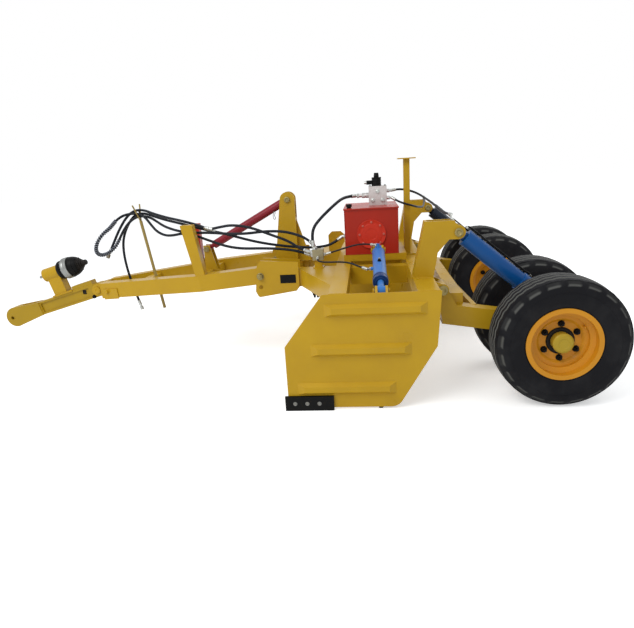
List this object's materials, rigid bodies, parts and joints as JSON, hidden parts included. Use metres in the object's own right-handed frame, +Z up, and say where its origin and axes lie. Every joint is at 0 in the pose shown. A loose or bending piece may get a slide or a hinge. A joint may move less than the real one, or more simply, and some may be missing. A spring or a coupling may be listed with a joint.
{
  "type": "towed laser land leveler",
  "caption": "Towed land leveling scraper: a drag bucket between ribbed end plates, carried on paired wheels lifted by hydraulic cylinders, with an A-frame drawbar and oil tank.",
  "frame": {"origin": "on the ground, under the middle of the machine's box", "axes": "+Z up, +X from the hitch towards the wheels, -Y is the machine's left side"},
  "size_m": [4.5654, 2.574, 1.44],
  "materials": {
    "yellow_paint": "gloss enamel over primer",
    "orange_paint": "gloss enamel",
    "red_paint": "gloss enamel",
    "blue_paint": "gloss enamel",
    "light_blue_paint": "gloss enamel",
    "black_paint": "satin enamel",
    "bright_steel": "zinc plated or turned",
    "chrome_rod": "hard chrome",
    "tyre_rubber": "moulded",
    "hose_rubber": "braided hose cover",
    "grey_casting": "as cast"
  },
  "bodies": {
    "frame": {"clamp_plates_left": "yellow_paint", "clamp_plates_right": "yellow_paint", "cross_cylinder": "light_blue_paint", "cross_cylinder_rod": "chrome_rod", "cutting_edge": "black_paint", "drawbar": "yellow_paint", "end_plate_left": "yellow_paint", "end_plate_right": "yellow_paint", "frame_pins": "bright_steel", "front_cross_beam": "yellow_paint", "front_tie": "yellow_paint", "gooseneck_left": "yellow_paint", "gooseneck_right": "yellow_paint", "hose_end_fittings": "bright_steel", "hose_holder": "yellow_paint", "hose_lift_left": "hose_rubber", "hose_lift_right": "hose_rubber", "hose_loop": "hose_rubber", "hose_manifold": "grey_casting", "hose_return": "hose_rubber", "hose_supply": "hose_rubber", "hose_tilt_a": "hose_rubber", "hose_tilt_b": "hose_rubber", "hose_valve": "hose_rubber", "mouldboard": "yellow_paint", "nameplate": "black_paint", "oil_tank": "red_paint", "rail_left": "yellow_paint", "rail_right": "yellow_paint", "rear_cross_beam": "yellow_paint", "receiver_mast": "yellow_paint", "side_knives": "yellow_paint", "solenoid": "black_paint", "stay": "red_paint", "stay_tower": "yellow_paint", "tank_stand": "yellow_paint", "valve_block": "grey_casting"},
    "hitch_tongue": {"hydraulic_pump": "black_paint", "pump_bracket": "yellow_paint", "tongue": "yellow_paint"},
    "jack": {"jack_leg": "red_paint"},
    "wheel_frame": {"spindles": "yellow_paint", "wheel_frame": "yellow_paint"},
    "wheel_left_outer": {"hub_left_outer": "yellow_paint", "rim_left_outer": "orange_paint", "tyre_left_outer": "tyre_rubber"},
    "wheel_left_inner": {"hub_left_inner": "yellow_paint", "rim_left_inner": "orange_paint", "tyre_left_inner": "tyre_rubber"},
    "wheel_right_outer": {"hub_right_outer": "yellow_paint", "rim_right_outer": "orange_paint", "tyre_right_outer": "tyre_rubber"},
    "wheel_right_inner": {"hub_right_inner": "yellow_paint", "rim_right_inner": "orange_paint", "tyre_right_inner": "tyre_rubber"},
    "lift_barrel_left": {"lift_barrel_left": "blue_paint"},
    "lift_rod_left": {"lift_rod_left": "chrome_rod"},
    "lift_barrel_right": {"lift_barrel_right": "blue_paint"},
    "lift_rod_right": {"lift_rod_right": "chrome_rod"}
  },
  "joints": [
    {"name": "wheel_frame_lift", "type": "hinge", "parent": "frame", "child": "wheel_frame", "pos_m": [1.27285, 0, 0.64], "axis": [0, 1, 0], "range_deg": [-6, 25]},
    {"name": "hitch_pivot", "type": "hinge", "parent": "frame", "child": "hitch_tongue", "pos_m": [-1.42301, 0, 0.53052], "axis": [0, 1, 0], "range_deg": [0, 20]},
    {"name": "jack_drop", "type": "slide", "parent": "frame", "child": "jack", "axis": [0, 0, -1], "range_m": [0, 0.3]},
    {"name": "wheel_left_outer_spin", "type": "hinge", "parent": "wheel_frame", "child": "wheel_left_outer", "pos_m": [1.90285, -1.155, 0.38], "axis": [0, 1, 0], "continuous": true},
    {"name": "wheel_left_inner_spin", "type": "hinge", "parent": "wheel_frame", "child": "wheel_left_inner", "pos_m": [1.90285, -0.56, 0.38], "axis": [0, 1, 0], "continuous": true},
    {"name": "wheel_right_inner_spin", "type": "hinge", "parent": "wheel_frame", "child": "wheel_right_inner", "pos_m": [1.90285, 0.56, 0.38], "axis": [0, 1, 0], "continuous": true},
    {"name": "wheel_right_outer_spin", "type": "hinge", "parent": "wheel_frame", "child": "wheel_right_outer", "pos_m": [1.90285, 1.155, 0.38], "axis": [0, 1, 0], "continuous": true},
    {"name": "lift_cylinder_left_swing", "type": "hinge", "parent": "frame", "child": "lift_barrel_left", "pos_m": [1.36885, -0.858, 0.99], "axis": [0, 1, 0], "range_deg": [-5.4, 19.4]},
    {"name": "lift_cylinder_left_stroke", "type": "slide", "parent": "lift_barrel_left", "child": "lift_rod_left", "axis": [0.7607, 0, -0.649], "range_m": [-0.036, 0.1375]},
    {"name": "lift_cylinder_right_swing", "type": "hinge", "parent": "frame", "child": "lift_barrel_right", "pos_m": [1.36885, 0.858, 0.99], "axis": [0, 1, 0], "range_deg": [-5.4, 19.4]},
    {"name": "lift_cylinder_right_stroke", "type": "slide", "parent": "lift_barrel_right", "child": "lift_rod_right", "axis": [0.7607, 0, -0.649], "range_m": [-0.036, 0.1375]}
  ],
  "couplings": [
    {"joint": "lift_cylinder_left_swing", "follows": "wheel_frame_lift", "ratio": 0.734},
    {"joint": "lift_cylinder_left_stroke", "follows": "wheel_frame_lift", "m_per_rad": 0.306},
    {"joint": "lift_cylinder_right_swing", "follows": "wheel_frame_lift", "ratio": 0.734},
    {"joint": "lift_cylinder_right_stroke", "follows": "wheel_frame_lift", "m_per_rad": 0.306}
  ]
}
